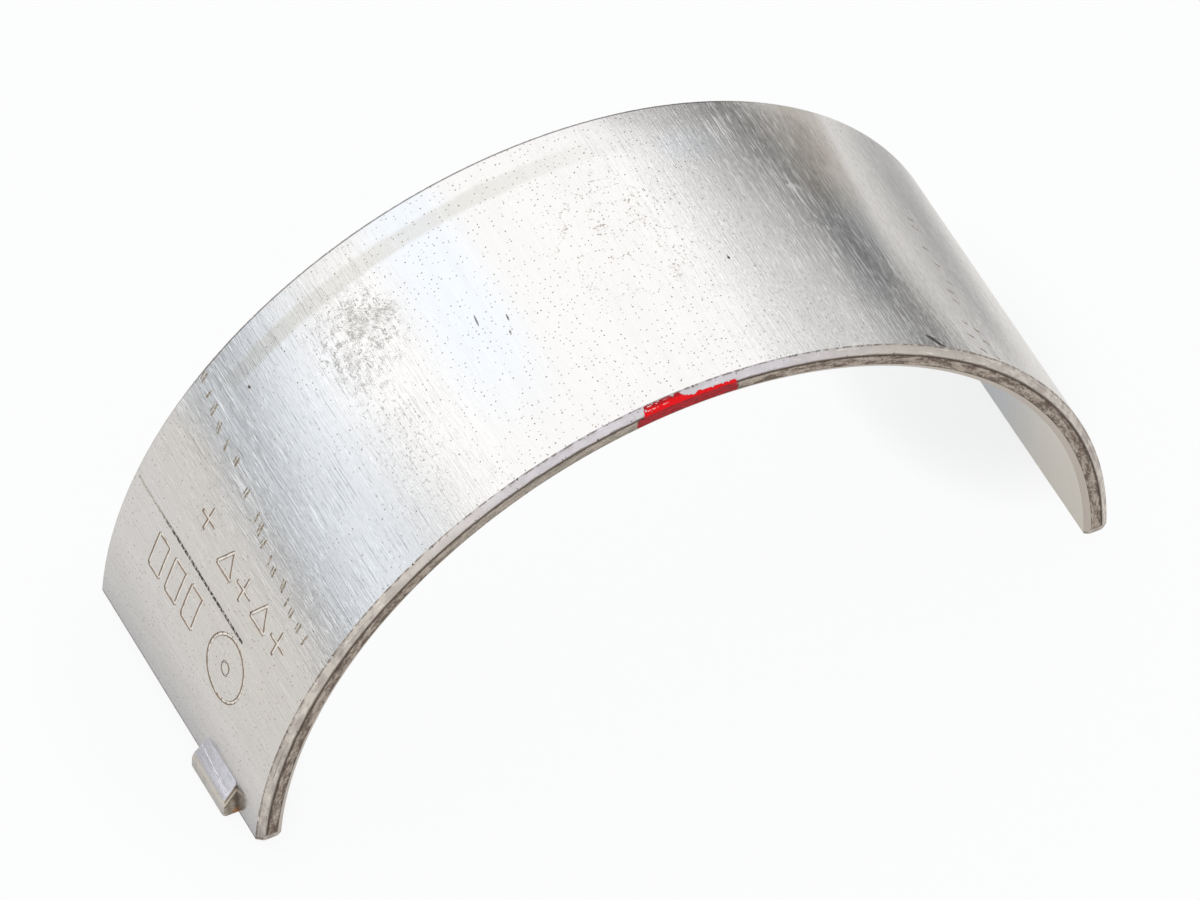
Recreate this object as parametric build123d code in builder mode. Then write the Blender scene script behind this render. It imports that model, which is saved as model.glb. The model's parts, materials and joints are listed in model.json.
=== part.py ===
"""Half shell of a plain connecting-rod bearing, in its free state.

It stands as an arch on its two joint faces. Y is the axis of the bore, -X is the side with the
locating tang, and -Y is the side with the colour mark. The origin is on the bore's axis, at the
middle of the width, so every radius below is measured from it.
"""

import os
from math import cos, degrees, hypot, pi, radians, sin, sqrt

from build123d import *

# The bore of the rod's big end that the shell is pressed into, and how much wider than it the
# shell stands across its joint faces before it is fitted.
housing_diameter = 51.0
free_spread = 1.15

# The wall and the width, with the broken edges of the two side faces.
wall = 1.5
width = 19.9
outer_chamfer_radial = 0.47
outer_chamfer_axial = 0.34
bore_chamfer_radial = 0.34
bore_chamfer_axial = 0.22

# The small bevel all round each joint face, and the steep facet that thins the shell's width there.
joint_bevel = 0.22
joint_facet_height = 0.6
joint_facet_depth = 0.15

# The tang, which a punch presses outwards from the bore side beside the left joint face.
tang_from_side = 2.5
tang_width = 4.0
tang_reach = 0.85
tang_nose_height = 0.95
tang_height = 2.0
tang_end_rake = 15.0
tang_bend_radius = 0.8
tang_edge_radius = 0.2

# The dab of colour on the front side face, as angles round the arch from the left joint side.
mark_film = 0.04
mark_start = 80.3
mark_end = 94.2
mark_on_chamfer_start = 81.3
mark_on_chamfer_end = 87.0
mark_edge_gap = 0.05

# The free arc keeps the length of half the housing's bore, and its ends stand out by half the
# spread each, so they turn by opening_angle short of the half circle.
housing_radius = housing_diameter / 2
opening_angle = degrees(pi * free_spread / (4 * housing_radius))
outer_radius = housing_radius * 180 / (180 - 2 * opening_angle)
bore_radius = outer_radius - wall
joint_height = outer_radius * sin(radians(opening_angle))

front = -width / 2
tang_front = front + tang_from_side
tang_back = tang_front + tang_width


def face_at(radius, height):
    """X of the round face of that radius, on the left leg, at a height above the bore's axis."""
    return -sqrt(radius**2 - height**2)


def pressed_form(radius):
    """The form that the punch moves, seen along the bore: a nose and a slope outside a round face.

    The tang stands out from the back by this form, and the bore has it as a pocket.
    """
    root = face_at(radius, joint_height) + wall / 2
    nose = face_at(radius, joint_height) - tang_reach
    slope_end = joint_height + tang_height
    with BuildSketch(Plane.XZ.offset(-tang_back)) as profile:
        with BuildLine():
            Polyline(
                (root, joint_height),
                (nose, joint_height),
                (nose, joint_height + tang_nose_height),
                (face_at(radius, slope_end), slope_end),
                (root, slope_end),
                close=True,
            )
        make_face()
    return profile.sketch


def facet_plane(side):
    """The steep plane that runs from a side face, -1 or 1, in under the joint faces."""
    return Plane(
        origin=(0, side * width / 2, joint_height + joint_facet_height),
        x_dir=(1, 0, 0),
        z_dir=(0, -side * joint_facet_height, joint_facet_depth),
    )


# The front end of the tang is sheared, and its top leans back from the side face.
rake = radians(tang_end_rake)
shear_plane = Plane(
    origin=(0, tang_front, joint_height),
    x_dir=(1, 0, 0),
    z_dir=(0, cos(rake), -sin(rake)),
)

# The steel draws in round the three edges where it was sheared: the nose's, the bend's and the slope's.
with BuildPart() as tang:
    extrude(pressed_form(outer_radius), amount=tang_width)
    bends = tang.edges().filter_by(Axis.Y).group_by(Axis.X)[0]
    fillet(bends.sort_by(Axis.Z)[-1], radius=tang_bend_radius)
    split(bisect_by=shear_plane, keep=Keep.TOP)
    sheared_end = tang.faces().sort_by(Axis.Y)[0]
    fillet(sheared_end.edges().sort_by(Axis.X)[0:3], radius=tang_edge_radius)

with BuildPart() as pocket:
    extrude(pressed_form(bore_radius), amount=tang_width)
    split(bisect_by=shear_plane, keep=Keep.TOP)

with BuildPart() as bearing_shell:
    with BuildSketch() as section:
        with BuildLine():
            Polyline(
                (-bore_radius, -width / 2 + bore_chamfer_axial),
                (-bore_radius - bore_chamfer_radial, -width / 2),
                (-outer_radius + outer_chamfer_radial, -width / 2),
                (-outer_radius, -width / 2 + outer_chamfer_axial),
                (-outer_radius, width / 2 - outer_chamfer_axial),
                (-outer_radius + outer_chamfer_radial, width / 2),
                (-bore_radius - bore_chamfer_radial, width / 2),
                (-bore_radius, width / 2 - bore_chamfer_axial),
                close=True,
            )
        make_face()
    revolve(axis=Axis.Y, revolution_arc=180)
    split(bisect_by=Plane.XY.offset(joint_height), keep=Keep.TOP)
    joint_faces = bearing_shell.faces().group_by(Axis.Z)[0]
    chamfer(joint_faces.edges(), length=joint_bevel)
    for side in (-1, 1):
        split(bisect_by=facet_plane(side), keep=Keep.TOP)
    add(tang.part)
    add(pocket.part, mode=Mode.SUBTRACT)

bearing_shell.part.label = "bearing_shell"


def film_plane(angle):
    """The plane through the bore's axis at that angle round the arch."""
    return Plane.XY.rotated((0, angle, 0))


# The corners of the front side face and its outer chamfer, as X and Y in a plane through the axis.
side_inner = (-bore_radius - bore_chamfer_radial - mark_edge_gap, front)
side_outer = (-outer_radius + outer_chamfer_radial, front)
chamfer_length = hypot(outer_chamfer_radial, outer_chamfer_axial)
chamfer_share = 1 - mark_edge_gap / chamfer_length
chamfer_outer = (
    side_outer[0] - outer_chamfer_radial * chamfer_share,
    front + outer_chamfer_axial * chamfer_share,
)

# The film's own surface lies one film thickness outside both faces, and folds where the two meet.
film_scale = mark_film / chamfer_length
film_out = (-outer_chamfer_axial * film_scale, -outer_chamfer_radial * film_scale)
corner_shift = film_out[0] * mark_film / (mark_film - film_out[1])
film_corner = (side_outer[0] + corner_shift, front - mark_film)

with BuildPart() as colour_code_mark:
    with BuildSketch(film_plane(mark_start)):
        with BuildLine():
            Polyline(side_inner, side_outer, film_corner, (side_inner[0], front - mark_film), close=True)
        make_face()
    revolve(axis=Axis.Y, revolution_arc=mark_end - mark_start)
    with BuildSketch(film_plane(mark_on_chamfer_start)):
        with BuildLine():
            Polyline(
                side_outer,
                chamfer_outer,
                (chamfer_outer[0] + film_out[0], chamfer_outer[1] + film_out[1]),
                film_corner,
                close=True,
            )
        make_face()
    revolve(axis=Axis.Y, revolution_arc=mark_on_chamfer_end - mark_on_chamfer_start)

colour_code_mark.part.label = "colour_code_mark"

os.makedirs("parts", exist_ok=True)
export_step(bearing_shell.part, "parts/bearing_shell.step")
export_step(colour_code_mark.part, "parts/colour_code_mark.step")

print("free outer radius", round(outer_radius, 3), "bore radius", round(bore_radius, 3))
print("joint plane above the axis", round(joint_height, 3))
print("span across the joint faces", round(2 * outer_radius * cos(radians(opening_angle)), 3))
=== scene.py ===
# %% [markdown]
# # A plain bearing shell, dressed over its construction model
#
# The object is one half of the thin bearing that lines a connecting rod's big end. The real one is
# sheared from a steel strip that carries a soft bearing alloy, stamped while it is flat, rolled
# round, trimmed at its side faces and flashed with tin. This lesson keeps to that order: the
# section, the rolled body, the tang that a punch presses out, the stamped marks, the dab of paint,
# and then the finishes, the table and the light.
#
# The construction model is loaded first. It stays as it is, and every size below is read from it.
# The frame is in metres. So small a part is modelled in millimetres, one unit each, and scaled down
# when it is done, because Blender's booleans need room between their points.

# %% Load the frame and read its sizes
import json
import math

import bmesh
import bpy
from mathutils import Matrix, Vector, noise


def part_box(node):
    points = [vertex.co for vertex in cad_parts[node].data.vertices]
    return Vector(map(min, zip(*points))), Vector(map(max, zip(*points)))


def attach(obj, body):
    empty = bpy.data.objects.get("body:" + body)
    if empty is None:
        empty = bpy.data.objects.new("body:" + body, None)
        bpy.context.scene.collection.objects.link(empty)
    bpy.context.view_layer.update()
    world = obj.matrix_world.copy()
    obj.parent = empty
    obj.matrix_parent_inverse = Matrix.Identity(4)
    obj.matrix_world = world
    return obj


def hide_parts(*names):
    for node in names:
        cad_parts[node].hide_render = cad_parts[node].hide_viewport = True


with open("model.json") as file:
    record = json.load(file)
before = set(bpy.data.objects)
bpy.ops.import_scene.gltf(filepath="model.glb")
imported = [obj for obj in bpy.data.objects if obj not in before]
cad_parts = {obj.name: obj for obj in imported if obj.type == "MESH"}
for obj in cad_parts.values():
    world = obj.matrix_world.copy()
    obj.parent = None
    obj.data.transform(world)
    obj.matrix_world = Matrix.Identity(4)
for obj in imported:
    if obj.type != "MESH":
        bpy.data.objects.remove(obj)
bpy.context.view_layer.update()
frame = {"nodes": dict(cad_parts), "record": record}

MM = 0.001
mounts = {mount["name"]: mount for mount in frame["record"]["mounts"]}
shell_low, shell_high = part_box("bearing_shell")

outer_radius = shell_high.z / MM
wall = mounts["housing_seat"]["pos_m"][2] / MM - mounts["journal_bore"]["dims"]["r_mm"]
bore_radius = outer_radius - wall
half_width = shell_high.y / MM
joint_z = shell_low.z / MM
bore_chamfer_axial = half_width - mounts["journal_bore"]["dims"]["length_mm"] / 2
print("outer radius", round(outer_radius, 3), "wall", round(wall, 3), "half width", round(half_width, 3),
      "joint plane", round(joint_z, 3), "mm")

# %% [markdown]
# The tang and the outer chamfer are read from the construction mesh as well. The tang's points are
# the ones that stand outside the round of the back, and the chamfer is what the front side face
# lacks of the full wall.

# %% Read the tang and the chamfer from the construction mesh
cad_points = [vertex.co / MM for vertex in frame["nodes"]["bearing_shell"].data.vertices]
touch = 0.01

tang_points = [p for p in cad_points if math.hypot(p.x, p.z) > outer_radius + 5 * touch]
tang_nose_x = min(p.x for p in tang_points)
tang_back_y = max(p.y for p in tang_points)
tang_front_y = min(p.y for p in tang_points)
tang_nose_height = 0.95
tang_height = 2.0
tang_end_rake = math.radians(15)
tang_bend_radius = 0.8
tang_edge_radius = 0.2
joint_bevel = 0.22
joint_facet_height = 0.6
joint_facet_depth = 0.15

side_radii = [math.hypot(p.x, p.z) for p in cad_points if abs(p.y + half_width) < touch]
chamfer_radial = outer_radius - max(side_radii)
bore_chamfer_radial = min(side_radii) - bore_radius
back_points = [p for p in cad_points if abs(math.hypot(p.x, p.z) - outer_radius) < touch]
chamfer_axial = half_width - max(p.y for p in back_points)
print("tang from", round(tang_front_y, 3), "to", round(tang_back_y, 3), "nose", round(tang_nose_x, 3))
print("outer chamfer", round(chamfer_radial, 3), "by", round(chamfer_axial, 3), "bore chamfer",
      round(bore_chamfer_radial, 3), "by", round(bore_chamfer_axial, 3))

# %% [markdown]
# ## Working by hand, from a script
#
# Blender's operators act on whatever is selected, and the load above leaves its nodes selected. So
# each step first makes one piece the only selected one, and then picks faces or edges by where they
# lie. These few helpers do that. Everything else is an operator that has a button in the menus.

# %% Choose a piece, open it, pick parts of it
def choose(*pieces):
    """Selects these pieces and nothing else, and makes the first one active."""
    bpy.ops.object.select_all(action="DESELECT")
    for piece in reversed(pieces):
        piece.select_set(True)
        bpy.context.view_layer.objects.active = piece


def open_for_edit(piece):
    choose(piece)
    bpy.ops.object.mode_set(mode="EDIT")
    bpy.ops.mesh.select_all(action="SELECT")


def close_edit():
    bpy.ops.object.mode_set(mode="OBJECT")


def pick(piece, kind, wanted):
    """Selects, in edit mode, the vertices, edges or faces for which wanted says yes."""
    bpy.ops.mesh.select_mode(type=kind)
    bpy.ops.mesh.select_all(action="DESELECT")
    mesh = bmesh.from_edit_mesh(piece.data)
    elements = {"VERT": mesh.verts, "EDGE": mesh.edges, "FACE": mesh.faces}[kind]
    picked = [element for element in elements if wanted(element)]
    for element in picked:
        element.select_set(True)
    bmesh.update_edit_mesh(piece.data)
    return len(picked)


def cut_off(point, normal, fill):
    """Cuts off, in edit mode, all that lies beyond a plane, on the side its normal points to."""
    bpy.ops.mesh.select_all(action="SELECT")
    bpy.ops.mesh.bisect(
        plane_co=point, plane_no=normal, use_fill=fill, clear_outer=True, threshold=touch / 100
    )


def tidy_mesh():
    """Merges doubled points and turns the faces outwards, in edit mode."""
    bpy.ops.mesh.select_all(action="SELECT")
    bpy.ops.mesh.remove_doubles(threshold=touch / 10)
    bpy.ops.mesh.normals_make_consistent(inside=False)


def apply_modifier(piece, kind, **settings):
    choose(piece)
    modifier = piece.modifiers.new(kind.lower(), kind)
    for name, value in settings.items():
        setattr(modifier, name, value)
    bpy.ops.object.modifier_apply(modifier=modifier.name)


def settle(piece):
    """Moves a piece's place, turn and scale into its mesh."""
    choose(piece)
    bpy.ops.object.transform_apply(location=True, rotation=True, scale=True)


def join_by_boolean(piece, other, operation):
    apply_modifier(
        piece, "BOOLEAN", object=other, operation=operation, solver="MANIFOLD",
        material_mode="TRANSFER",
    )
    bpy.data.objects.remove(other)


# %% [markdown]
# ## The finishes get their names
#
# A boolean carries the material of the tool that it cuts with onto the faces that it makes. So each
# finish exists by name from here on, and its nodes follow once the shapes are done.
#
# A finish is a node tree, and its sums read best as plain arithmetic. `Wire` stands for one output
# socket: adding, multiplying or comparing wires adds the Math nodes. Every other node comes from
# `Finish.node`, which sets a node's settings first, then its sockets. The patterns after it are short
# recipes of a few nodes each.

# %% Wires and finishes
class Wire:
    """One output socket, on which arithmetic adds Math nodes."""

    def __init__(self, finish, socket):
        self.finish = finish
        self.socket = socket

    def math(self, operation, first, second=0.0):
        return self.finish.node("Math", {"operation": operation}, {0: first, 1: second})

    def __abs__(self):
        return self.math("ABSOLUTE", self)


def arithmetic(operation):
    """The two forms of an operator, with the wire first and with the wire second."""
    return (
        lambda wire, other: wire.math(operation, wire, other),
        lambda wire, other: wire.math(operation, other, wire),
    )


operators = {
    "add": "ADD", "sub": "SUBTRACT", "mul": "MULTIPLY", "truediv": "DIVIDE", "pow": "POWER",
    "or": "MAXIMUM", "and": "MINIMUM",
}
for name, operation in operators.items():
    wire_first, wire_second = arithmetic(operation)
    setattr(Wire, f"__{name}__", wire_first)
    setattr(Wire, f"__r{name}__", wire_second)


class Finish:
    """A named node tree that grows by short calls."""

    def __init__(self, name, owner=None):
        self.material = owner or bpy.data.materials.new(name)
        self.material.use_nodes = True
        self.tree = self.material.node_tree
        self.tree.nodes.clear()

    def node(self, kind, settings=(), inputs=(), output=0):
        made = self.tree.nodes.new("ShaderNode" + kind)
        for name, value in dict(settings).items():
            if name == "stops":
                self.set_stops(made.color_ramp, value)
            else:
                setattr(made, name, value)
        for key, value in dict(inputs).items():
            socket = made.inputs[key]
            if isinstance(value, Wire):
                self.tree.links.new(value.socket, socket)
            elif socket.type == "RGBA":
                socket.default_value = (*value, 1.0)
            else:
                socket.default_value = value
        if isinstance(output, tuple):
            return [Wire(self, made.outputs[each]) for each in output]
        return Wire(self, made.outputs[output]) if made.outputs else None

    def set_stops(self, ramp, stops):
        while len(ramp.elements) < len(stops):
            ramp.elements.new(0.5)
        for element, (position, colour) in zip(ramp.elements, stops):
            element.position = position
            element.color = (*colour, 1.0)

    def show(self, **sockets):
        """The one surface shader, with its sockets given by name."""
        inputs = {name.replace("_", " "): value for name, value in sockets.items()}
        surface = self.node("BsdfPrincipled", inputs=inputs)
        self.node("OutputMaterial", inputs={"Surface": surface})
        print(self.material.name, "has", len(self.tree.nodes), "nodes")

    def place(self):
        """The object coordinates, as three wires in metres."""
        place = self.node("TexCoord", output="Object")
        return self.node("SeparateXYZ", inputs={0: place}, output=(0, 1, 2))

    def round_the_shell(self):
        """Millimetres round the back from the left joint, along the bore, and out from its axis."""
        x, y, z = self.place()
        turn = self.node("Math", {"operation": "ARCTAN2"}, {0: z, 1: x * -1})
        return turn * outer_radius, y / MM, (x * x + z * z) ** 0.5 / MM


# %% Patterns and mixes, from wires
def mask(value, low, high):
    """0 below low, 1 above high and a smooth rise between. With low above high it falls."""
    settings = {"interpolation_type": "SMOOTHSTEP"}
    inputs = {"Value": value, "From Min": low, "From Max": high}
    return value.finish.node("MapRange", settings, inputs)


def band(value, foot, top, top_end, foot_end):
    """0 up to foot, 1 from top to top_end and 0 from foot_end on, smooth between."""
    return mask(value, foot, top) * mask(value, foot_end, top_end)


def point(x, y, z=0.0):
    return x.finish.node("CombineXYZ", inputs={0: x, 1: y, 2: z})


def cloud(x, y, seed, detail=2.0, rough=0.5, twist=0.0):
    """Soft noise from 0 to 1 about one unit across."""
    inputs = {
        "Vector": point(x, y, seed), "Scale": 1.0, "Detail": detail, "Roughness": rough,
        "Distortion": twist,
    }
    return x.finish.node("TexNoise", {"noise_dimensions": "3D"}, inputs)


def spot(arc, along, centre, reach, edge=0.0):
    """1 inside a round patch, fading to 0 at its edge, which a cloud can make uneven."""
    u = (arc - centre[0]) / reach[0]
    v = (along - centre[1]) / reach[1]
    return mask(u * u + v * v + edge, 1.0, 0.2)


def hairlines(field, width):
    """Thin curved lines, where a cloud passes its middle value."""
    return mask(abs(field - 0.5), width, 0.0)


def blend(share, first, second):
    """Goes from the first colour to the second as the share goes from 0 to 1."""
    inputs = {0: share, 6: first, 7: second}
    return share.finish.node("Mix", {"data_type": "RGBA"}, inputs, output=2)


def shade(colour, light):
    """Multiplies a colour by a number."""
    inputs = {0: colour, "Scale": light}
    return colour.finish.node("VectorMath", {"operation": "SCALE"}, inputs)


def bump(height_mm):
    """A normal from a height in millimetres."""
    return height_mm.finish.node("Bump", inputs={"Height": height_mm, "Distance": MM})


finish_names = ("plated_back", "broken_edge", "trimmed_side", "bearing_lining", "joint_face",
                "stamped_groove", "old_dirt", "tang_skin", "sheared_end", "red_paint")
finishes = {name: Finish(name) for name in finish_names}
print("finishes named:", ", ".join(finish_names))

# %% [markdown]
# ## The section, rolled round
#
# The wall is 1.5 mm of steel and alloy with its side edges broken by small chamfers. On the real
# part the strip is rolled; a lathe-like spin of the same section gives the same body. The section
# starts as a plane, is cut at its four corners, and its corners are bevelled a little so that every
# edge catches a line of light. A spin of one step per degree turns it into the half round.

# %% Make the section
edge_softness = 0.035
section_centre_x = -(outer_radius + bore_radius) / 2

choose()
bpy.ops.mesh.primitive_plane_add(size=1, location=(section_centre_x, 0, 0))
shell = bpy.context.object
shell.name = "bearing_shell_body"
shell.scale = (wall, 2 * half_width, 1)
settle(shell)

open_for_edit(shell)
for side in (-1, 1):
    cut_off(
        (-outer_radius, side * (half_width - chamfer_axial), 0),
        (-chamfer_axial, side * chamfer_radial, 0),
        fill=False,
    )
    cut_off(
        (-bore_radius, side * (half_width - bore_chamfer_axial), 0),
        (bore_chamfer_axial, side * bore_chamfer_radial, 0),
        fill=False,
    )
bpy.ops.mesh.select_all(action="SELECT")
bpy.ops.mesh.bevel(offset=edge_softness, segments=2, affect="VERTICES")
print("section has", len(bmesh.from_edit_mesh(shell.data).verts), "corners")

# %% Spin it round and trim it at the joint plane
spin_steps = 180

bpy.ops.mesh.select_all(action="SELECT")
bpy.ops.mesh.spin(steps=spin_steps, angle=math.pi, center=(0, 0, 0), axis=(0, -1, 0))
tidy_mesh()
cut_off((0, 0, joint_z), (0, 0, -1), fill=True)
tidy_mesh()


def on_joint_plane(edge):
    return all(abs(corner.co.z - joint_z) < touch / 2 for corner in edge.verts)


found = pick(shell, "EDGE", on_joint_plane)
bpy.ops.mesh.bevel(offset=joint_bevel, segments=3, affect="EDGES")
for side in (-1, 1):
    cut_off(
        (0, side * half_width, joint_z + joint_facet_height),
        (0, side * joint_facet_height, -joint_facet_depth),
        fill=True,
    )
tidy_mesh()
close_edit()
print("joint edges bevelled:", found, "faces now", len(shell.data.polygons))

# %% [markdown]
# ## Each face gets its finish
#
# The faces are told apart by where they lie: out on the back, in the bore, on a side, on an edge
# between, or underneath at the joint. This is done before the tang and the marks are cut, while
# the body is still plain.

# %% Hand out the finishes
body_finishes = ("plated_back", "broken_edge", "trimmed_side", "bearing_lining", "joint_face")
for name in body_finishes:
    shell.data.materials.append(finishes[name].material)


def finish_of(face):
    """The finish of one face of the plain body, by its place and the way it faces."""
    out = Vector((face.center.x, 0, face.center.z)).normalized()
    outward = face.normal.dot(out)
    if face.normal.z < -0.2 and face.center.z < joint_z + joint_facet_height:
        return "joint_face"
    if abs(face.normal.y) > 0.97:
        return "trimmed_side"
    if outward > 0.97:
        return "plated_back"
    if outward < -0.97:
        return "bearing_lining"
    return "broken_edge"


for face in shell.data.polygons:
    face.material_index = body_finishes.index(finish_of(face))
counts = {name: 0 for name in body_finishes}
for face in shell.data.polygons:
    counts[body_finishes[face.material_index]] += 1
print("faces by finish:", counts)

# %% [markdown]
# ## The dab of paint
#
# A worker marks the size group with a quick touch of a brush on the front edge. Paint takes the
# form of what it lies on, so the film starts as a copy of the faces beneath it. The copy is divided
# finely, the cells outside a ragged outline are deleted, and the rest is given its thickness. The
# outline follows the brush: full width on the side face, a short stretch on the chamfer, and a torn
# upper edge that runs down to the right.

# %% Copy the faces under the paint
paint_start = math.radians(80.3)
paint_end = math.radians(94.2)
paint_spare = math.radians(1.5)
film_thickness = 0.034


def turn_of(point):
    """The angle round the arch from the left joint side."""
    return math.atan2(point.z, -point.x)


def under_paint(face):
    centre = face.calc_center_median()
    across = centre.y < -half_width + chamfer_axial + touch
    return across and paint_start - paint_spare < turn_of(centre) < paint_end + paint_spare and (
        math.hypot(centre.x, centre.z) > bore_radius + bore_chamfer_radial
    )


open_for_edit(shell)
pick(shell, "FACE", under_paint)
bpy.ops.mesh.duplicate()
bpy.ops.mesh.separate(type="SELECTED")
close_edit()
film = [piece for piece in bpy.context.selected_objects if piece != shell][0]
film.name = "colour_mark_paint"
print("faces under the paint:", len(film.data.polygons))

# %% Tear its outline and give it thickness
film_cuts = 7


def film_reach(point):
    """How far out on the chamfer the brush reached at this place round the arch, from 0 to 1."""
    turn = math.degrees(turn_of(point))
    begun = min(1.0, max(0.0, (turn - 81.5) / 0.5))
    wiped = 0.3 + 0.7 * min(1.0, max(0.0, (87.4 - turn) / 0.9))
    ended = min(1.0, max(0.0, (94.2 - turn) / 0.6))
    return begun * wiped * ended


def torn(point, size, seed):
    """Smooth noise over the film, from -1 to 1."""
    return noise.noise(Vector((point.x / size, seed, math.hypot(point.y, point.z) / size)))


def outside_film(face):
    centre = face.calc_center_median()
    turn = turn_of(centre)
    out = math.hypot(centre.x, centre.z)
    edge = outer_radius - chamfer_radial
    slant = (out - bore_radius) / wall * math.radians(0.9)
    ragged = math.radians(0.55) * torn(centre, 0.35, 3.0) + math.radians(0.3) * torn(centre, 0.12, 9.0)
    if turn < paint_start + slant + ragged or turn > paint_end - slant * 0.5 + ragged:
        return True
    top = edge + chamfer_radial * (0.93 * film_reach(centre) + 0.3 * torn(centre, 0.3, 5.0))
    gap = torn(centre, 0.16, 14.0) > 0.56 and out > edge + 0.08
    low_edge = bore_radius + bore_chamfer_radial + 0.05 + 0.04 * torn(centre, 0.4, 21.0)
    return out > min(top, outer_radius - 0.04) or out < low_edge or gap


open_for_edit(film)
bpy.ops.mesh.subdivide(number_cuts=film_cuts)
cut_cells = pick(film, "FACE", outside_film)
bpy.ops.mesh.delete(type="FACE")
bpy.ops.mesh.select_all(action="SELECT")
bpy.ops.mesh.remove_doubles(threshold=touch / 10)
close_edit()
print("cells torn away:", cut_cells, "cells left:", len(film.data.polygons))

# %% [markdown]
# ## The tang, and the pocket behind it
#
# A punch presses the tang out from the bore side, right beside the joint face. It shears the wall
# along the tang's front end and only bends it elsewhere. So the same form shows twice: standing out
# from the back, and sunk into the bore as a pocket. One function makes it for either radius: a
# block, cut by the sloping top and by the leaning plane of the sheared end.

# %% Press out the tang
def face_at(radius, height):
    return -math.sqrt(radius**2 - height**2)


tang_reach = face_at(outer_radius, joint_z) - tang_nose_x


def pressed_form(radius, name):
    """The form that the punch moves, outside the round face of this radius."""
    root = face_at(radius, joint_z) + wall / 2
    nose = face_at(radius, joint_z) - tang_reach
    slope_end = Vector((face_at(radius, joint_z + tang_height), 0, joint_z + tang_height))
    slope_start = Vector((nose, 0, joint_z + tang_nose_height))
    slope = slope_end - slope_start
    choose()
    bpy.ops.mesh.primitive_cube_add(
        size=1,
        location=((root + nose) / 2, (tang_front_y + tang_back_y) / 2, joint_z + tang_height / 2),
        scale=(root - nose, tang_back_y - tang_front_y, tang_height),
    )
    form = bpy.context.object
    form.name = name
    settle(form)
    open_for_edit(form)
    cut_off(slope_start, (-slope.z, 0, slope.x), fill=True)
    cut_off(
        (0, tang_front_y, joint_z), (0, -math.cos(tang_end_rake), math.sin(tang_end_rake)), fill=True
    )
    tidy_mesh()
    return form


tang = pressed_form(outer_radius, "tang")


def nose_bend(edge):
    return all(
        abs(corner.co.x - tang_nose_x) < touch and corner.co.z > joint_z + tang_nose_height - touch
        for corner in edge.verts
    )


def outside_wall(edge):
    """Edges that stand clear of the wall, wholly or in part."""
    return min(corner.co.x for corner in edge.verts) < -outer_radius - touch


def sheared_edge(edge):
    """The three edges round the sheared end: the nose's, the bend's and the slope's."""
    lean = math.tan(tang_end_rake)
    at_end = all(
        abs(corner.co.y - tang_front_y - lean * (corner.co.z - joint_z)) < touch for corner in edge.verts
    )
    return at_end and outside_wall(edge) and max(corner.co.z for corner in edge.verts) > joint_z + touch


slope_run = face_at(outer_radius, joint_z + tang_height) - tang_nose_x
slope_turn = math.atan2(slope_run, tang_height - tang_nose_height)
bends = pick(tang, "EDGE", nose_bend)
bpy.ops.mesh.bevel(offset=tang_bend_radius * math.tan(slope_turn / 2), segments=6, affect="EDGES")
drawn_in = pick(tang, "EDGE", sheared_edge)
bpy.ops.mesh.bevel(offset=tang_edge_radius, segments=3, affect="EDGES")
softened = pick(
    tang, "EDGE", lambda edge: edge.calc_face_angle(0) > math.radians(50) and outside_wall(edge)
)
bpy.ops.mesh.bevel(offset=0.07, segments=2, affect="EDGES")
tidy_mesh()
close_edit()
tang.data.materials.append(finishes["tang_skin"].material)
tang.data.materials.append(finishes["sheared_end"].material)
for face in tang.data.polygons:
    face.material_index = 1 if face.normal.y < -0.8 else 0
print("tang bends:", bends, "sheared edges:", drawn_in, "softened:", softened,
      "faces", len(tang.data.polygons))

# %% Sink the pocket
pocket = pressed_form(bore_radius, "pocket")
close_edit()
pocket.data.materials.append(finishes["bearing_lining"].material)
join_by_boolean(shell, tang, "UNION")
join_by_boolean(shell, pocket, "DIFFERENCE")
print("body with tang and pocket:", len(shell.data.polygons), "faces")

# %% [markdown]
# ## Marks struck into the flat strip
#
# The maker's signs are struck while the strip is flat, and are rolled round with it. The die is
# laid out the same way here: flat, with X as depth, Y along the bore and Z as length round the
# back. Plain shapes stand where the real part has its signs. The groove is that of a rounded
# graver, so each stroke is one slim rod with softened ends, modelled once and copied. A bend
# modifier then rolls the die round the bearing's axis. The manifold boolean wants each tool whole, so
# strokes that touch lie in different layers of the die, and the layers are sunk one after another.
#
# The die also carries the scribed line and the two rows of short feed marks, one on each leg.

# %% Model one stroke of the graver
choose()
bpy.ops.mesh.primitive_cylinder_add(vertices=12, radius=0.5, depth=1)
graver = bpy.context.object
graver.name = "graver"
open_for_edit(graver)
bpy.ops.mesh.select_all(action="DESELECT")
pick(graver, "EDGE", lambda edge: all(abs(corner.co.z) > 0.49 for corner in edge.verts))
bpy.ops.mesh.bevel(offset=0.08, segments=2, affect="EDGES")
pick(graver, "EDGE", lambda edge: abs(edge.verts[0].co.z - edge.verts[1].co.z) > 0.5)
bpy.ops.mesh.subdivide(number_cuts=3)
close_edit()
die_layers = ([], [], [])


def stroke(start, end, layer=0, width=0.24, depth=0.06, finish="stamped_groove"):
    """Lays a stroke of the die from start to end, each as (round the back, along the bore) in mm."""
    run = Vector((0, end[1] - start[1], end[0] - start[0]))
    rod = graver.copy()
    rod.data = graver.data.copy()
    rod.data.materials.append(finishes[finish].material)
    bpy.context.scene.collection.objects.link(rod)
    rod.scale = (2 * depth, width, run.length)
    rod.rotation_euler.x = math.atan2(-run.y, run.z)
    rod.location = (0, (start[1] + end[1]) / 2, (start[0] + end[0]) / 2)
    die_layers[layer].append(rod)


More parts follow.
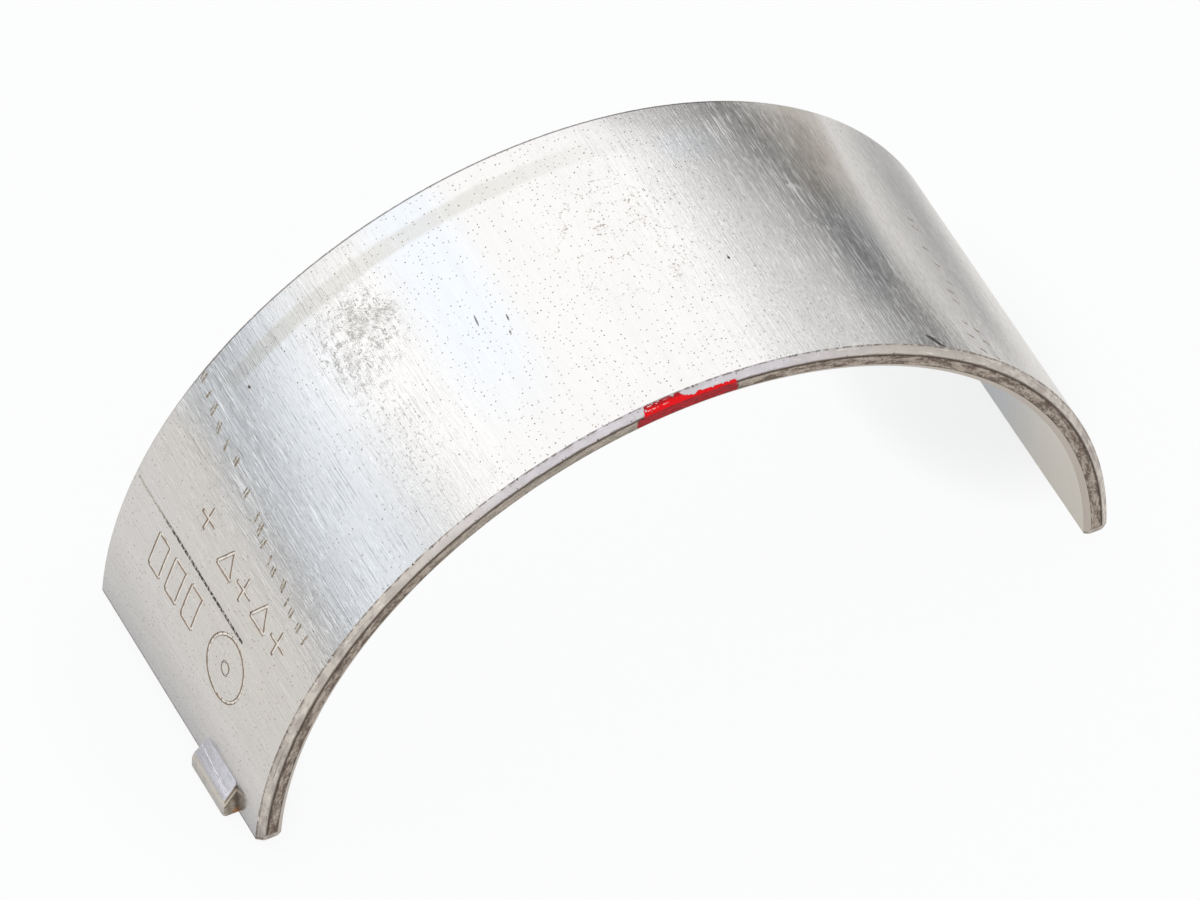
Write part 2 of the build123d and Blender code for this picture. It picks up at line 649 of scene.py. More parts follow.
def outline(centre, reach, corners, turn=0.0, slim=1.0, **groove):
    """A closed figure of straight strokes. Slim is its width as a share of its height."""
    angles = [math.radians(turn + 360 * i / corners) for i in range(corners + 1)]
    points = [
        (centre[0] + reach * math.cos(angle), centre[1] + slim * reach * math.sin(angle))
        for angle in angles
    ]
    for index, (start, end) in enumerate(zip(points, points[1:])):
        stroke(start, end, layer=2 if index == corners - 1 and corners % 2 else index % 2, **groove)


def cross(centre, reach):
    stroke((centre[0] - reach, centre[1]), (centre[0] + reach, centre[1]))
    stroke((centre[0], centre[1] - reach), (centre[0], centre[1] + reach), layer=1)


# %% Lay out the die
cross((13.1, 3.1), 0.75)
for place, kind in ((0.2, 3), (-1.8, 4), (-3.9, 3), (-5.9, 4)):
    if kind == 3:
        outline((12.45, place), 0.95, 3)
    else:
        cross((12.5, place), 0.8)
for place in (5.2, 3.2, 1.2):
    outline((8.3, place), 1.6, 4, turn=45, slim=0.55)
outline((8.0, -3.2), 1.9, 24)
outline((8.0, -3.2), 0.4, 12, width=0.13)

scribed = ((10.38, 9.3), (10.33, 7.2), (10.35, 4.0), (10.31, 0.4), (10.3, -3.62))
for index, (start, end) in enumerate(zip(scribed, scribed[1:])):
    stroke(start, end, layer=index % 2, width=0.2, depth=0.035, finish="old_dirt")

feed_marks_left = (
    (17.78, 9.30), (17.50, 8.35), (17.24, 7.36), (16.92, 6.30), (16.70, 5.20), (16.71, 3.86),
    (16.16, 1.95), (15.91, 0.43), (15.68, -0.33), (15.35, -1.08), (15.13, -2.07), (14.89, -2.83),
    (14.96, -3.97), (14.59, -4.75), (14.45, -5.51), (14.31, -6.51), (14.25, -7.30),
)
feed_marks_right = (
    (62.07, 1.95), (61.9, 1.2), (61.41, -0.61), (61.5, -1.9), (61.53, -3.35), (60.9, -4.2), (60.74, -5.04),
    (60.1, -6.9), (60.9, -7.3), (59.78, -8.00), (61.0, -8.2), (60.08, -9.10), (61.1, -9.3),
)
for index, (arc, along) in enumerate(feed_marks_left):
    lean = 0.16 * noise.noise(Vector((index * 1.7, 0.3, 0.0))) + 0.06
    half = 0.3 + 0.15 * noise.noise(Vector((index * 2.3, 5.1, 0.0)))
    stroke((arc - half, along - lean - 0.1), (arc + half, along + lean - 0.1), width=0.16, depth=0.035,
           finish="old_dirt")
    if index % 3 != 1:
        stroke((arc - 0.7 * half, along - lean + 0.12), (arc + 0.9 * half, along + lean + 0.14), layer=1,
               width=0.1, depth=0.03, finish="old_dirt")
for arc, along in feed_marks_right:
    stroke((arc - 0.2, along + 0.12), (arc + 0.2, along - 0.12), width=0.15, depth=0.035,
           finish="old_dirt")
print("strokes in the die:", [len(layer) for layer in die_layers])

# %% Roll the die and sink it
for layer in die_layers:
    choose(*layer)
    bpy.ops.object.join()
    die = bpy.context.object
    die.name = "die"
    settle(die)
    lengths = [vertex.co.z for vertex in die.data.vertices]
    apply_modifier(
        die, "SIMPLE_DEFORM", deform_method="BEND", deform_axis="Y",
        angle=(max(lengths) - min(lengths)) / outer_radius,
    )
    die.location.x = -outer_radius
    settle(die)
    depths = [math.hypot(v.co.x, v.co.z) - outer_radius for v in die.data.vertices]
    print("this layer stands", round(max(depths), 3), "out and", round(min(depths), 3), "in")
    join_by_boolean(shell, die, "DIFFERENCE")
bpy.data.objects.remove(graver)
print("body with its marks:", len(shell.data.polygons), "faces")

# %% [markdown]
# ## Close the meshes
#
# The faces are turned outwards, and the shading is smooth wherever two faces meet at less than
# thirty degrees, so that the round of the back reads as one surface and every edge stays crisp. The
# film of paint gets its thickness last.

# %% Turn outwards and smooth
smooth_below = math.radians(30)

open_for_edit(shell)
bpy.ops.mesh.normals_make_consistent(inside=False)
close_edit()
choose(shell)
bpy.ops.object.shade_smooth_by_angle(angle=smooth_below)

film.data.materials.clear()
film.data.materials.append(finishes["red_paint"].material)
for face in film.data.polygons:
    face.material_index = 0
apply_modifier(
    film, "SOLIDIFY", thickness=film_thickness, offset=0.5, solidify_mode="NON_MANIFOLD"
)
choose(film)
bpy.ops.object.shade_smooth_by_angle(angle=math.radians(60))

for piece in (shell, film):
    check = bmesh.new()
    check.from_mesh(piece.data)
    open_edges = sum(1 for edge in check.edges if not edge.is_manifold)
    print(piece.name, "faces", len(check.faces), "open edges", open_edges, "volume mm3",
          round(check.calc_volume(signed=True), 3))
    check.free()

# %% [markdown]
# ## The tin-flashed back
#
# The back is rolled steel under a thin flash of tin, drawn along the bore by a finishing belt. So it
# is a bright metal under fine lines, long and short, which are weaker on the crown. Brown specks of
# corrosion gather in clusters. A rubbed patch of curled scratches sits on the left shoulder, soot
# and tarnish on the right one, and a water stain runs near the rear edge. Every pattern is laid out
# in millimetres round the back and along the bore, so it wraps with it.

# %% Finish the back
def finish_back(finish):
    arc, along, out = finish.round_the_shell()
    brush = cloud(arc / 0.08, along / 2, 1, detail=3, rough=0.65)
    drag = cloud(arc / 0.6, along / 9, 2)
    grain = cloud(arc / 0.13, along / 0.22, 3)
    mottle = cloud(arc / 2.4, along / 3, 4, detail=4, rough=0.6)
    uneven = (mottle - 0.5) * 1.6
    crown = band(arc, 26, 32, 42, 48)

    short_line = cloud(arc / 0.055, along / 1.1, 5, detail=1)
    long_line = cloud(arc / 0.06, along / 5, 15, detail=1)
    glint = mask(short_line, 0.64, 0.7) | mask(long_line, 0.63, 0.69)
    hair = mask(short_line, 0.36, 0.3) | mask(long_line, 0.36, 0.3)
    hair = hair * (1 - crown * 0.9)
    right = mask(arc, 45, 50)
    drawn = (1 - crown * 0.7) * (0.45 + mask(arc, 11, 17) * 0.55) * (1 - right * 0.25)

    cells = {"Vector": point(arc / 0.36, along / 0.36), "Scale": 1, "Randomness": 1}
    near, pick_colour = finish.node(
        "TexVoronoi", {"voronoi_dimensions": "2D"}, cells, output=("Distance", "Color")
    )
    chance, size, tone = finish.node("SeparateColor", inputs={0: pick_colour}, output=(0, 1, 2))
    cluster = cloud(arc / 2.2, along / 2.8, 6, detail=3)
    rare = 1.18 - cluster * 0.9 - crown * 0.25 - mask(arc, 12, 5) * 0.12
    speck = mask(near, 0.1 + size * 0.08, 0.06) * mask(chance, rare, rare + 0.05)
    speck = speck * (0.4 + tone * 0.6)
    loops = hairlines(cloud(arc / 2.4, along / 2.4, 31), 0.02)
    loops = loops * spot(arc, along, (41.6, 1.6), (4.6, 5.6))
    loops = loops * mask(cloud(arc / 0.16, along / 0.16, 33), 0.5, 0.6)

    pits = spot(arc, along, (19.81, 6.45), (0.1, 0.14)) | spot(
        arc, along, (46.35, -2), (0.1, 0.14)
    )
    leaning = arc - along * 0.12
    for place, reach in (((32.25, 0.4), 0.5), ((33.85, -0.45), 0.28), ((33.65, -1.35), 0.16)):
        pits = pits | spot(leaning, along, place, (0.07, reach)) * 0.75
    nick_run = arc * 0.887 - along * 0.462
    nick_across = arc * 0.462 + along * 0.887
    for place in ((53.75, 17.93), (54, 17.78), (54.3, 17.7)):
        pits = pits | spot(nick_run, nick_across, place, (0.5, 0.15))

    patch = spot(arc, along, (26.6, 3.8), (3.1, 4), uneven)
    slant = arc * 0.8 + along * 0.6
    rise = along * 0.8 - arc * 0.6
    curls = hairlines(cloud(slant / 0.32, rise / 1.1, 12, twist=0.3), 0.02)
    curls = curls | hairlines(cloud(rise / 0.34, slant / 1, 17, twist=0.5), 0.018)
    curls = curls | hairlines(cloud(arc / 0.2, along / 1.2, 23, twist=0.3), 0.02)
    scored = patch * curls * mask(cloud(arc / 0.5, along / 0.5, 11), 0.44, 0.56)
    blots = spot(arc, along, (26.8, 4.7), (0.9, 1.2), uneven)
    blots = blots | spot(arc, along, (28.4, 4.2), (0.9, 0.9), uneven) * 0.8
    blots = blots | spot(arc, along, (25.5, 3), (0.5, 1), uneven) * 0.6
    blots = blots * mask(cloud(slant / 0.1, rise / 0.4, 8, detail=4, rough=0.7), 0.38, 0.62)
    trail = spot(arc, along, (25.5, -3.3), (2, 5.6), uneven)
    trail = trail * mask(cloud(arc / 0.2, along / 0.3, 9), 0.57, 0.66)
    rubbed = blots * 0.55 | scored * 0.75 | trail * 0.4

    sooty = spot(arc, along, (55.4, 7), (3.2, 2.8), uneven)
    sooty = sooty | spot(arc, along, (55, 3.6), (2, 2.4), uneven) * 0.7
    sooty = sooty | spot(arc, along, (49, 9), (6, 1.2), uneven) * 0.3
    streaky = cloud(arc / 0.25, along / 1.2, 14, detail=4, rough=0.65)
    sooty = sooty * mask(streaky, 0.25, 0.7)
    shift = arc - along * 0.19
    tarnish = band(shift, 52.8, 55.2, 56.9, 58.3) * (0.6 + streaky * 0.5)
    tarnish = tarnish * (0.25 + mask(along, -7.5, -1) * 0.75)
    stain = mask(abs(along - 7.6) + (mottle - 0.5) * 0.5, 0.75, 0.4) * (0.6 + grain * 0.6)
    stain = stain * band(arc, 17, 22, 34, 48)
    edge_line = mask(along, half_width - chamfer_axial - 0.13, half_width - chamfer_axial - 0.05)
    edge_line = edge_line * band(arc, 15, 19, 50, 58)
    from_feed = abs(arc - 15.95 - along * 0.205)
    feed_lines = mask(abs(from_feed - 0.36), 0.05, 0.01) * mask(drag, 0.4, 0.55)
    # Painted shade: a dark line in the corner where the back meets the tang's sheared end, and a painted
    # contact shadow along the foot, by the table.
    tang_line = abs(along - tang_front_y - (arc - joint_z) * math.tan(tang_end_rake))
    painted_corner_shade = mask(tang_line, 0.11, 0.03) * mask(arc, 3.1, 2.8) * mask(grain, 0.36, 0.5)
    foot = mask(arc, joint_z + 0.42, joint_z + 0.26)

    # Painted reflection tints: bluish and creamy zones round the back stand for cool and warm surroundings
    # mirrored in the metal.
    cool_reflection_tint = band(arc, 28, 31.5, 32.6, 35.4) * mask(along, -9, 0)
    cool_reflection_tint = cool_reflection_tint | band(arc, 14, 18, 21, 27)
    cool_reflection_tint = cool_reflection_tint | spot(arc, along, (48.6, 6.6), (2.6, 1.4), uneven) * 0.4
    warm_reflection_tint = band(arc, 5, 9, 11.5, 15) * mask(along, 7, 0) * 0.5
    warm_reflection_tint = warm_reflection_tint | spot(arc, along, (13.6, 6), (2.4, 3.6), uneven) * 0.5
    colour = blend(cool_reflection_tint, (0.66, 0.652, 0.645), (0.63, 0.655, 0.685))
    colour = blend(warm_reflection_tint * 0.7, colour, (0.65, 0.61, 0.55))
    # Painted shade: lilac grey low on the left leg, where the metal mirrors the shaded paper by the foot.
    colour = blend(mask(arc, 3.4, 1.2) * 0.8, colour, (0.53, 0.535, 0.565))
    colour = blend(stain * 0.5, colour, (0.46, 0.445, 0.40))
    brownish = mask(along, 0, 5)
    film_tone = blend(brownish, (0.44, 0.45, 0.46), (0.42, 0.39, 0.345))
    colour = blend(tarnish, colour, film_tone)
    lines = brush * 0.12 + glint * 0.3 - hair * 0.28
    grit = cloud(arc / 0.07, along / 0.3, 21, detail=1)
    grit = mask(grit, 0.6, 0.7) * 0.2 - mask(grit, 0.4, 0.3) * 0.2
    lines = lines * drawn + grit * band(arc, 43, 48, 55, 58)
    colour = shade(colour, 0.9 + drag * 0.08 + feed_lines * 0.06 + lines)
    colour = blend(sooty * 0.6, colour, (0.22, 0.2, 0.175))
    colour = blend(rubbed, colour, (0.24, 0.22, 0.19))
    colour = blend(speck | loops * 0.7, colour, (0.2, 0.145, 0.09))
    # Black for the pits and the rear edge line, with painted shade in the tang's corner and along the foot.
    colour = blend(
        pits | painted_corner_shade * 0.8 | edge_line * 0.8 | foot * 0.7, colour, (0.05, 0.04, 0.035)
    )
    height = (brush * 0.012 + glint * 0.01) * drawn + grain * (0.004 + right * 0.004)
    height = height + mottle * 0.004 + feed_lines * 0.003
    height = height - speck * 0.006 - scored * 0.006
    finish.show(
        Base_Color=colour, Metallic=1 - speck * 0.4 - rubbed * 0.3 - (pits | painted_corner_shade | foot) * 0.6,
        Roughness=0.12 + mottle * 0.06 + glint * drawn * 0.25 + (rubbed | speck) * 0.25 + sooty * 0.1,
        Normal=bump(height),
    )


finish_back(finishes["plated_back"])

# %% [markdown]
# ## The broken edges
#
# The chamfers are turned after rolling, so they are bare steel, lilac grey over the crown, with short
# lines round the arch instead of along the bore. Oily dirt and black pits sit along both rims, and a
# painted contact shadow darkens the foot.

# %% Finish the broken edges
def finish_edges(finish):
    arc, along, out = finish.round_the_shell()
    across = (out - (outer_radius - chamfer_radial)) / chamfer_radial
    outer = mask(across, -1, -0.5)
    rise = arc & (math.pi * outer_radius - arc)
    lathe = cloud(arc / 5, across / 0.13, 1, detail=3, rough=0.6)
    patchy = cloud(arc / 1.2, along / 0.5, 2, detail=5, rough=0.65)
    broken = mask(cloud(arc / 0.5, across, 3, detail=2), 0.4, 0.56)
    wander = (patchy - 0.5) * 0.3
    rim = mask(across + wander, 0.84, 0.93) * broken
    root = mask(across + wander, 0.16, 0.04) * outer
    # Painted contact shadow along the foot, by the table.
    foot = mask(rise, joint_z + 0.45, joint_z + 0.28)
    legs = mask(abs(arc - 41), 16, 24)
    lines = mask(lathe, 0.54, 0.64) * mask(patchy, 0.38, 0.5) * outer * (0.25 + legs * 0.75)
    scuffs = mask(cloud(arc / 1, across / 0.22, 9, detail=2), 0.6, 0.68) * outer
    pits = mask(cloud(arc / 0.16, across / 0.4, 5), 0.36, 0.31)
    pits = pits * (mask(across, 0.6, 0.85) + mask(across, 0.3, 0.1) * outer)
    lilac = band(arc, 20, 32, 44, 54)
    colour = blend(lilac, (0.62, 0.58, 0.53), (0.585, 0.56, 0.59))
    colour = blend(1 - outer, colour, (0.50, 0.455, 0.41))
    worn = mask(patchy, 0.44, 0.6) * (0.2 + legs * 0.45) * outer
    colour = blend(worn, colour, (0.36, 0.32, 0.30))
    colour = shade(colour, 0.86 + lathe * 0.28 + scuffs * 0.3)
    # Dirt on the rims and lines, with painted contact shadow at the foot.
    dirt_and_shade = rim * 0.7 | root * 0.8 | lines * (0.4 + legs * 0.2) | foot * 0.8
    colour = blend(dirt_and_shade, colour, (0.12, 0.085, 0.065))
    colour = blend(pits, colour, (0.03, 0.025, 0.02))
    finish.show(
        Base_Color=colour, Metallic=0.9 - dirt_and_shade * 0.4, Roughness=0.3 + patchy * 0.15,
        Normal=bump(lathe * 0.004 + patchy * 0.012 + scuffs * 0.008 - pits * 0.02),
    )


finish_edges(finishes["broken_edge"])

# %% [markdown]
# ## The trimmed side faces
#
# The side faces show the cut wall: tarnished brown and pitted, with a ragged black seam below the
# chamfer, a thinner one above the bore, and painted glints as white specks on the right. They are
# hardly glossy.

# %% Finish the side faces
def finish_side(finish):
    arc, along, out = finish.round_the_shell()
    grain = cloud(arc / 0.22, out / 0.12, 1, detail=5, rough=0.7)
    patchy = cloud(arc / 1.2, out / 0.35, 2, detail=4, rough=0.65)
    chamfer_edge = outer_radius - chamfer_radial
    bore_edge = bore_radius + bore_chamfer_radial
    ragged = (cloud(arc / 0.5, out / 0.3, 7, detail=4, rough=0.65) - 0.5) * 0.28
    seam = mask(out + ragged, chamfer_edge - 0.17, chamfer_edge - 0.07)
    lower_seam = mask(out + ragged, bore_edge + 0.06, bore_edge + 0.01)
    near_edges = mask(out, chamfer_edge - 0.25, chamfer_edge - 0.1) | mask(
        out, bore_edge + 0.15, bore_edge + 0.05
    )
    pits = mask(cloud(arc / 0.2, out / 0.13, 5, detail=1), 0.34, 0.28)
    pits = pits * (near_edges * 0.7 + 0.3)
    # Painted glints: white specks on the right of the side face.
    painted_glints = mask(cloud(arc / 0.1, out / 0.09, 6, detail=1), 0.7, 0.75)
    painted_glints = painted_glints * mask(arc, 44, 52)
    smooth = mask(abs(arc - 33), 12, 6)
    brown = blend(smooth, (0.13, 0.095, 0.07), (0.28, 0.255, 0.215))
    grey = (0.46, 0.395, 0.335)
    colour = blend(mask(patchy * 0.6 + grain * 0.4, 0.42, 0.58), brown, grey)
    colour = blend(seam * 0.9 | lower_seam * 0.7, colour, (0.06, 0.042, 0.03))
    colour = blend(pits, colour, (0.03, 0.025, 0.02))
    colour = blend(painted_glints * 0.8, colour, (0.9, 0.88, 0.85))
    finish.show(
        Base_Color=colour, Metallic=0.5, Roughness=0.48 + grain * 0.25,
        Normal=bump(grain * 0.03 - pits * 0.03),
    )


finish_side(finishes["trimmed_side"])

# %% [markdown]
# ## The bearing lining
#
# The bore is bored to size after lining, so fine tool lines run round it. The alloy is softer and
# greyer than the back, and creamy towards the front. The joint faces are broached across the wall.

# %% Finish the lining and the joint faces
def finish_lining(finish):
    arc, along, out = finish.round_the_shell()
    tool_lines = cloud(arc / 14, along / 0.06, 1, detail=2)
    cloudy = cloud(arc / 4, along / 3, 2, detail=4)
    cream = mask(along, 2, -7)
    colour = blend(cream, (0.47, 0.50, 0.54), (0.62, 0.595, 0.55))
    finish.show(
        Base_Color=shade(colour, 0.92 + tool_lines * 0.12 + cloudy * 0.04), Metallic=0.85,
        Roughness=0.34 + cloudy * 0.1,
        Normal=bump(tool_lines * 0.0015),
    )


def finish_joint(finish):
    arc, along, out = finish.round_the_shell()
    broach = cloud(out / 0.06, along / 1.8, 1, detail=3)
    patchy = cloud(out / 0.5, along / 0.7, 2, detail=4)
    facet = mask(abs(along), half_width - joint_facet_depth - 0.02, half_width - joint_facet_depth)
    rise = arc & (math.pi * outer_radius - arc)
    outlined = mask(abs(rise - joint_facet_height - joint_z), 0.1, 0.02)
    dull = mask(patchy, 0.4, 0.65) * (1 - facet * 0.6) | facet * outlined * 0.9
    colour = blend(dull, (0.52, 0.47, 0.43), (0.2, 0.165, 0.135))
    finish.show(
        Base_Color=shade(colour, 0.9 + broach * 0.2), Metallic=0.8, Roughness=0.4 + patchy * 0.2,
        Normal=bump(broach * 0.003),
    )


finish_lining(finishes["bearing_lining"])
finish_joint(finishes["joint_face"])

# %% [markdown]
# ## The struck grooves, the tang and the paint
#
# The walls of each struck groove carry painted shade in brown, and its bottom a painted highlight.
# The tang has the back's tin, rubbed to a lilac grey on its slope, and its sheared end is torn bare
# steel with a little rust. The paint is a red enamel, glossy on the chamfer, with a painted highlight
# there, and thin and streaked on the side.

# %% Finish the small places
def finish_groove(finish):
    arc, along, out = finish.round_the_shell()
    # Painted shade: brown on the groove walls. Painted highlight: bright at the bottom, with an uneven edge.
    groove_wobble = cloud(arc / 0.4, along / 0.4, 1, detail=3)
    highlit_bottom = mask(out + (groove_wobble - 0.5) * 0.03, outer_radius - 0.046, outer_radius - 0.055)
    colour = blend(highlit_bottom, (0.25, 0.185, 0.13), (0.82, 0.8, 0.77))
    finish.show(Base_Color=colour, Metallic=0.5 + highlit_bottom * 0.5, Roughness=0.4 - highlit_bottom * 0.1)


def finish_dirt(finish):
    arc, along, out = finish.round_the_shell()
    clods = mask(cloud(arc / 0.14, along / 0.16, 1, detail=3), 0.42, 0.52)
    scribed_line = mask(arc, 12.5, 12)
    faint = mask(along, 4.5, 7.5) * 0.7
    filth = (clods * 0.75 + 0.2) * (1 - faint * scribed_line)
    dark = blend(scribed_line, (0.23, 0.18, 0.115), (0.03, 0.025, 0.022))
    colour = blend(filth, (0.6, 0.57, 0.52), dark)
    finish.show(Base_Color=colour, Metallic=0.8 - filth * 0.4, Roughness=0.35 + filth * 0.3)


def finish_tang(finish):
    arc, along, out = finish.round_the_shell()
    brush = cloud(arc / 0.12, along / 1.6, 1, detail=3)
    worn = cloud(arc / 0.4, along / 0.6, 2, detail=5, rough=0.65)
    on_slope = mask(arc + (worn - 0.5) * 0.3, 1.85, 2.05)
    on_bend = mask(abs(arc - 1.72 + (worn - 0.5) * 0.4), 0.2, 0.05)
    sway = (cloud(along / 0.5, arc * 0, 5, detail=3) - 0.5) * 0.12
    lean = (along - tang_front_y) * 0.06
    scored = mask(abs(arc - 2.2 - lean + sway), 0.03, 0.01)
    scored = scored | mask(abs(arc - 2.12 - lean - sway), 0.025, 0.01) * mask(along, -5, -6)
    scored = scored * mask(cloud(arc, along / 0.14, 6), 0.34, 0.46)
    specks = mask(cloud(arc / 0.1, along / 0.12, 7), 0.34, 0.28)
    scuffs = mask(worn, 0.52, 0.58)
    spread = mask(worn, 0.36, 0.6)
    colour = blend(on_slope, (0.58, 0.565, 0.54), (0.55, 0.55, 0.595))
    colour = blend(on_bend * 0.6, colour, (0.70, 0.655, 0.59))
    colour = shade(colour, 0.74 + brush * 0.2 + spread * 0.22 + scored * 0.5)
    colour = blend(scuffs * 0.35, colour, (0.36, 0.335, 0.31))
    colour = blend(specks * 0.8, colour, (0.14, 0.1, 0.08))
    finish.show(
        Base_Color=colour, Metallic=1 - specks * 0.5, Roughness=0.25 + worn * 0.14,
        Normal=bump(brush * 0.01 + worn * 0.04 + scored * 0.01),
    )


def finish_sheared(finish):
    arc, along, out = finish.round_the_shell()
    torn_grain = cloud(arc / 0.14, out / 0.3, 1, detail=5, rough=0.7)
    at_wall = mask(out + (torn_grain - 0.5) * 0.3, outer_radius + 0.32, outer_radius + 0.05)
    slope_line = out - outer_radius + (arc - 1.9) * 0.95
    pale = mask(abs(slope_line - 0.46), 0.13, 0.07)
    dark_line = mask(abs(slope_line - 0.3), 0.06, 0.02)
    dark_line = dark_line | mask(abs(slope_line - 0.62), 0.05, 0.02)
    rust = mask(out, outer_radius + 0.42, outer_radius + 0.05) * mask(arc, 1.45, 1.05)
    torn_tone = mask(torn_grain, 0.34, 0.62)
    colour = blend(torn_tone, (0.23, 0.185, 0.14), (0.46, 0.41, 0.35))
    colour = blend(at_wall * 0.8, colour, (0.14, 0.1, 0.075))
    colour = blend(pale * 0.7, colour, (0.72, 0.64, 0.54))
    colour = blend(dark_line * 0.75, colour, (0.12, 0.085, 0.06))
    colour = blend(rust * 0.75, colour, (0.5, 0.19, 0.035))
    finish.show(
        Base_Color=colour, Metallic=0.65 - rust * 0.5, Roughness=0.42 + torn_grain * 0.2,
        Normal=bump(torn_grain * 0.02),
    )


def finish_paint(finish):
    arc, along, out = finish.round_the_shell()
    thick = cloud(arc / 0.3, out / 0.2 + along / 0.2, 1, detail=4, rough=0.6)
    across = (out - (outer_radius - chamfer_radial)) / chamfer_radial
    on_side = mask(across, 0.06, -0.12)
    streaks = cloud(arc / 0.7, out / 0.16, 4, detail=4, rough=0.65)
    thin = mask(streaks, 0.53, 0.6) * on_side
    full = mask(streaks, 0.5, 0.42) * on_side
    dull = mask(across + (streaks - 0.5) * 0.8, 0.5, 0.75) * (1 - on_side)
    early = mask(arc, 38.9, 38.2)
    # Painted highlight: pale pink lines along the chamfer's paint, on its early part.
    painted_shine = mask(abs(across - 0.42 + (streaks - 0.5) * 0.25), 0.07, 0.02)
    painted_shine = painted_shine | mask(abs(across - 0.82 + (streaks - 0.5) * 0.3), 0.06, 0.02)
    painted_shine = painted_shine * mask(cloud(arc / 0.25, across, 8), 0.46, 0.54) * early
    colour = blend(on_side, (0.74, 0, 0.004), (0.42, 0.012, 0.02))
    colour = blend(full * 0.85, colour, (0.2, 0.006, 0.01))
    colour = blend(thin * 0.85, colour, (0.1, 0.022, 0.018))
    colour = blend(dull * 0.9, colour, (0.34, 0.004, 0.01))
    colour = blend(painted_shine * 0.8, colour, (0.95, 0.62, 0.6))
    finish.show(
        Base_Color=colour, Metallic=0, Roughness=0.2 + on_side * 0.3, Specular_IOR_Level=0.15,
        Normal=bump(thick * 0.035),
    )


finish_groove(finishes["stamped_groove"])
finish_dirt(finishes["old_dirt"])
finish_tang(finishes["tang_skin"])
finish_sheared(finishes["sheared_end"])
finish_paint(finishes["red_paint"])

# %% [markdown]
# ## The table, the light and the camera
#
# The part stands on white paper. A metal shows what is round it, so the studio matters as much as
# the finish: a white dome, one broad soft lamp above and behind, and a graded grey ring that stands
# round the table. The ring gives the metal its darker bands. It differs to the left, the right and
# the front, and the camera doesn't see it.
#
# For the camera the paper is evened to white, with only a soft shade beside the feet. The metal
# mirrors a creamier paper, with painted shadows on it in front of the left foot and beside the
# right one.

# %% Lay the paper
table_reach = 6.0
most_even = 0.96
mirror_even = 0.7

choose()
bpy.ops.mesh.primitive_circle_add(vertices=64, radius=table_reach, fill_type="NGON",
                                  location=(0, 0, joint_z * MM))
paper = bpy.context.object
paper.name = "paper"
settle(paper)

paper_finish = Finish("white_paper")
seen_by = paper_finish.node(
    "LightPath", output=("Is Camera Ray", "Is Glossy Ray", "Is Transmission Ray")
)
x, y, z = paper_finish.place()
# Painted shadows on the paper that only the metal mirrors: beside the right leg and along the left foot.
painted_mirror_shadow = spot(x / MM, y / MM, (50.0, 22.0), (23.0, 14.0))
painted_mirror_shadow = painted_mirror_shadow | mask(abs(x / MM + 26.6), 3.0, 0.5) * 0.3
cream_paper = blend(painted_mirror_shadow, (0.98, 0.955, 0.915), (0.33, 0.322, 0.31))
paper_tone = blend(seen_by[1], (0.98, 0.985, 0.985), cream_paper)
lit = paper_finish.node("BsdfDiffuse", inputs={"Color": (0.82, 0.82, 0.835)})
plain_white = paper_finish.node("Emission", inputs={"Color": paper_tone, "Strength": 1.0})
shadow = spot(x / MM, y / MM, (-27.0, -1.0), (7.0, 14.0)) * 0.15
shadow = shadow | spot(x / MM, y / MM, (24.0, 5.0), (8.0, 13.0)) * 0.35
open_paper = most_even - shadow * 0.5
evened = seen_by[0] * open_paper + seen_by[1] * mirror_even + seen_by[2] * 0.86
surface = paper_finish.node(
    "MixShader", inputs={0: evened & most_even, 1: lit, 2: plain_white}
)
paper_finish.node("OutputMaterial", inputs={"Surface": surface})
paper.data.materials.append(paper_finish.material)

# %% Stand the graded ring round the table
ring_radius = 1.2
ring_height = 0.8
choose()
bpy.ops.mesh.primitive_cylinder_add(
    vertices=96, radius=ring_radius, depth=ring_height, end_fill_type="NOTHING",
    location=(0, 0, joint_z * MM + ring_height / 2),
)
ring = bpy.context.object
ring.name = "graded_ring"
settle(ring)
ring.visible_camera = False
ring.visible_shadow = False

ring_finish = Finish("graded_grey")
place = ring_finish.node("TexCoord", output="Object")
heading = ring_finish.node("VectorMath", {"operation": "NORMALIZE"}, {0: place})
x, y, z = ring_finish.node("SeparateXYZ", inputs={0: heading}, output=(0, 1, 2))
ring_peak = 1.4
left_stops = ((0.0, 0.42), (0.06, 0.46), (0.12, 0.6), (0.18, 0.82), (0.27, 1.15), (0.38, 1.4), (0.54, 1.1))
right_stops = ((0.0, 0.08), (0.10, 0.10), (0.17, 0.46), (0.24, 0.6), (0.33, 0.76), (0.43, 0.95), (0.54, 1.0))
front_stops = ((0.0, 0.75), (0.1, 1.0), (0.2, 1.25), (0.3, 1.4), (0.54, 1.2))


def graded(stops):
    """A ramp of greys up the ring, from (height, level) pairs."""
    greys = [(height, [level / ring_peak] * 3) for height, level in stops]
    return ring_finish.node("ValToRGB", {"stops": greys}, {0: z})


to_right = mask(x, -0.25, 0.25)
grey = blend(to_right, graded(left_stops), graded(right_stops))
grey = blend(mask(y, -0.5, -0.8), grey, graded(front_stops))
glow = ring_finish.node("Emission", inputs={"Color": grey, "Strength": ring_peak})
ring_finish.node("OutputMaterial", inputs={"Surface": glow})
ring.data.materials.append(ring_finish.material)

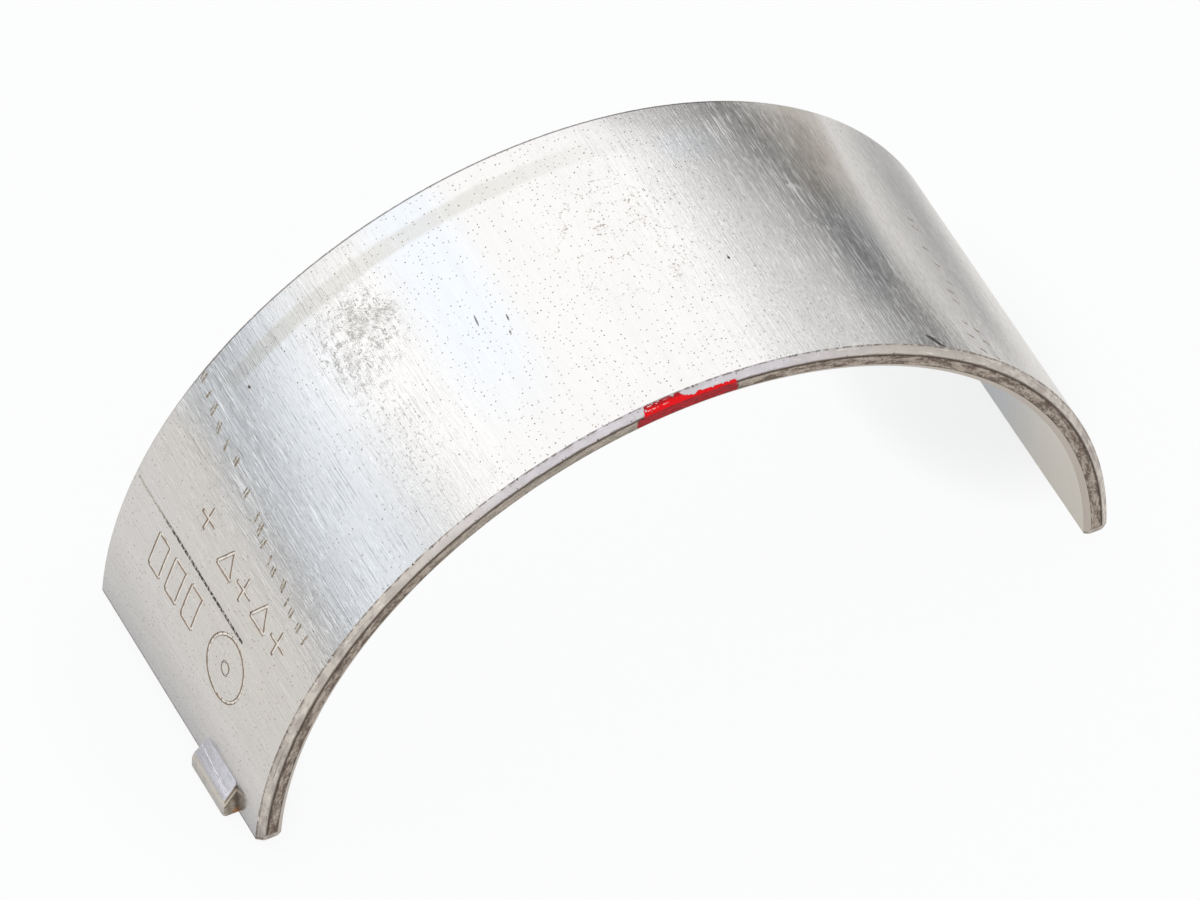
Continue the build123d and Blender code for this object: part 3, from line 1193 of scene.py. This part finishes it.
# %% Light the dome and hang the lamp
world = bpy.data.worlds.new("white_dome")
bpy.context.scene.world = world
dome = Finish("white_dome", owner=world)
dome_light = dome.node("Background", inputs={"Color": (1.0, 1.0, 1.0), "Strength": 1.0})
dome.node("OutputWorld", inputs={"Surface": dome_light})

lamp_distance = 1.0
lamp_heading = Vector((-0.03, 0.56, 0.82)).normalized()
lamp_size = (1.62, 0.8)
lamp_glow = 0.54
lamp_data = bpy.data.lights.new("soft_lamp", "AREA")
lamp_data.shape = "RECTANGLE"
lamp_data.size, lamp_data.size_y = lamp_size
lamp_data.energy = lamp_glow * math.pi * lamp_size[0] * lamp_size[1]
lamp = bpy.data.objects.new("soft_lamp", lamp_data)
bpy.context.scene.collection.objects.link(lamp)
lamp.location = lamp_heading * lamp_distance
lamp.rotation_euler = lamp_heading.to_track_quat("Z", "Y").to_euler()
print("lamp power", round(lamp_data.energy, 2), "W")

# %% [markdown]
# The camera stands to the left of the front, well above the part, with a long lens, and leans by
# three degrees.

# %% Set the camera
camera_azimuth = math.radians(-29.2494)
camera_elevation = math.radians(49.7331)
camera_roll = math.radians(3.1364)
camera_distance = 0.68251
camera_sensor = 36
camera_lens = 376.814
camera_aim = Vector((-0.6691, 0.1659, 10.2787)) * MM

camera_data = bpy.data.cameras.new("camera")
camera_data.sensor_width = camera_sensor
camera_data.lens = camera_lens
camera = bpy.data.objects.new("camera", camera_data)
bpy.context.scene.collection.objects.link(camera)
turn = (
    Matrix.Rotation(camera_azimuth, 4, "Z")
    @ Matrix.Rotation(math.pi / 2 - camera_elevation, 4, "X")
    @ Matrix.Rotation(camera_roll, 4, "Z")
)
camera.matrix_world = Matrix.Translation(camera_aim + turn.to_3x3().col[2] * camera_distance) @ turn
bpy.context.scene.camera = camera
bpy.context.scene.view_settings.view_transform = "Standard"

# %% [markdown]
# ## From millimetres to metres
#
# The two pieces are scaled down to the frame's metres, and take the places of the plain solids.

# %% Scale down, say what each piece is, and finish
for piece in (shell, film):
    piece.scale = (MM, MM, MM)
    settle(piece)

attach(shell, "root")
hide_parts("bearing_shell")
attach(film, "root")
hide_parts("colour_code_mark")
